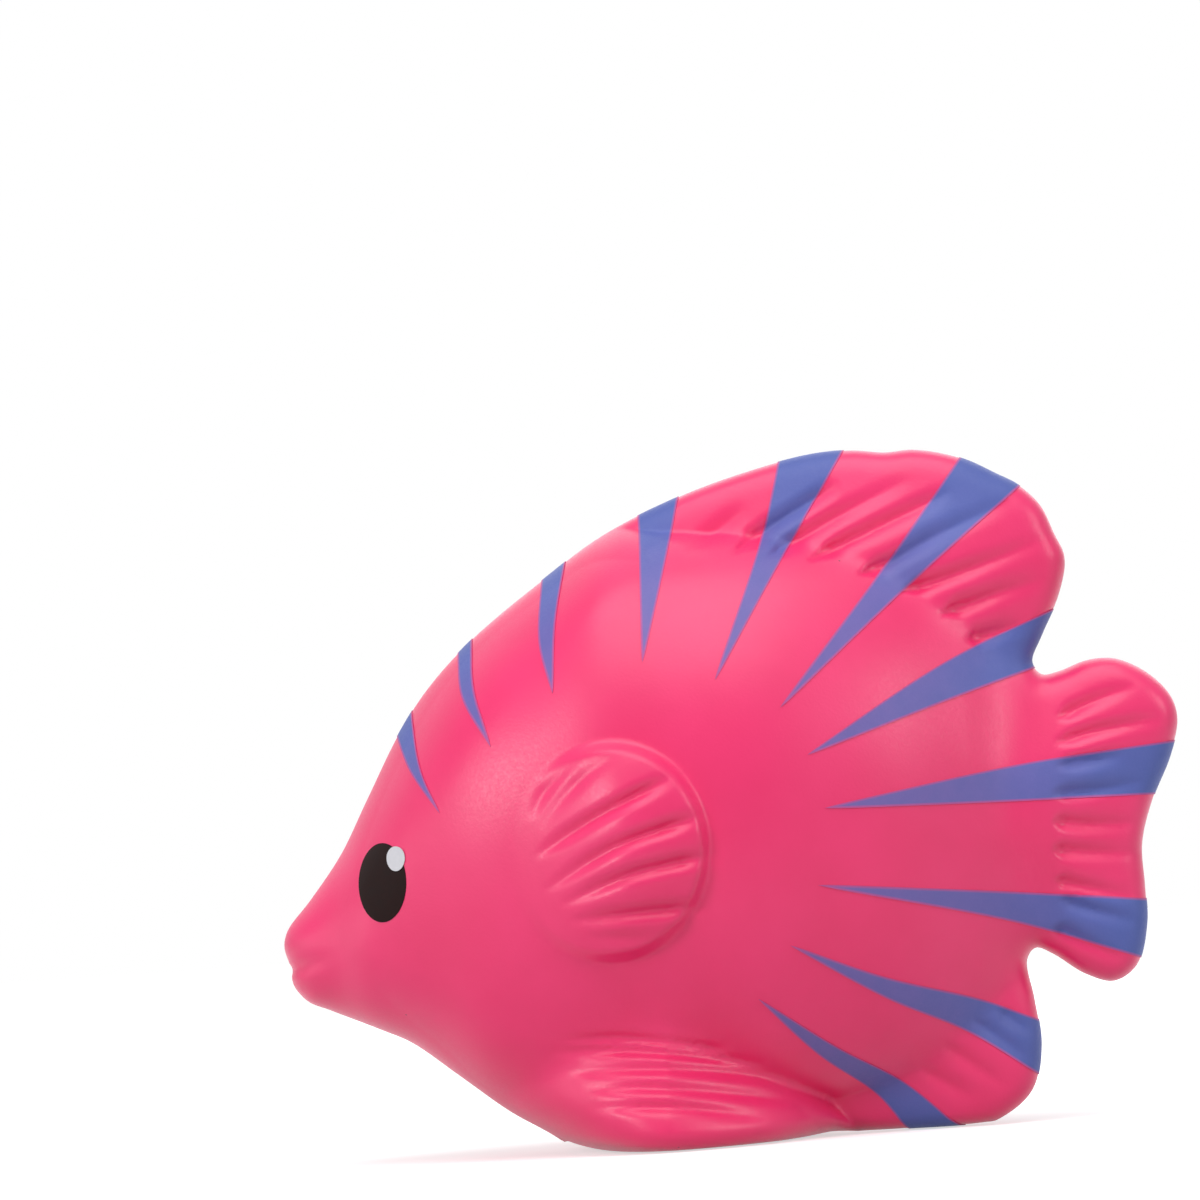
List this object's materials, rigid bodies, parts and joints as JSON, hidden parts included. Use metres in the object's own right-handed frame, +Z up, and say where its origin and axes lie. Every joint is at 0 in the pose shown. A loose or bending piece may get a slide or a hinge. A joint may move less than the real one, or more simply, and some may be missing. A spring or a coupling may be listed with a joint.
{
  "type": "fish stress ball",
  "caption": "Palm-sized soft foam angelfish to squeeze, with a two-half moulded skin, raised rayed fins, painted stripes and eyes, standing on a flat base.",
  "frame": {"origin": "middle of the fish's footprint box, on the flat base it stands on", "axes": "+X from the snout to the tail, +Y to the fish's right side, +Z up to the dorsal fin"},
  "size_m": [0.108, 0.0548, 0.0816],
  "materials": {
    "foam": "soft open-celled polyurethane foam",
    "skin": "satin soft polyurethane skin, bright pink",
    "stripe_paint": "matt sprayed periwinkle paint",
    "eye_paint": "smooth printed brown-black paint",
    "glint_paint": "smooth printed pale grey paint"
  },
  "bodies": {
    "root": {"foam_core": "foam", "left_skin": "skin", "right_skin": "skin", "left_stripe_1": "stripe_paint", "left_stripe_2": "stripe_paint", "left_stripe_3": "stripe_paint", "left_stripe_4": "stripe_paint", "left_stripe_5": "stripe_paint", "left_stripe_6": "stripe_paint", "left_stripe_7": "stripe_paint", "left_stripe_8": "stripe_paint", "left_stripe_9": "stripe_paint", "left_stripe_10": "stripe_paint", "left_stripe_11": "stripe_paint", "right_stripe_1": "stripe_paint", "right_stripe_2": "stripe_paint", "right_stripe_3": "stripe_paint", "right_stripe_4": "stripe_paint", "right_stripe_5": "stripe_paint", "right_stripe_6": "stripe_paint", "right_stripe_7": "stripe_paint", "right_stripe_8": "stripe_paint", "right_stripe_9": "stripe_paint", "right_stripe_10": "stripe_paint", "right_stripe_11": "stripe_paint", "left_eye": "eye_paint", "right_eye": "eye_paint", "left_eye_glint": "glint_paint", "right_eye_glint": "glint_paint"}
  },
  "joints": []
}
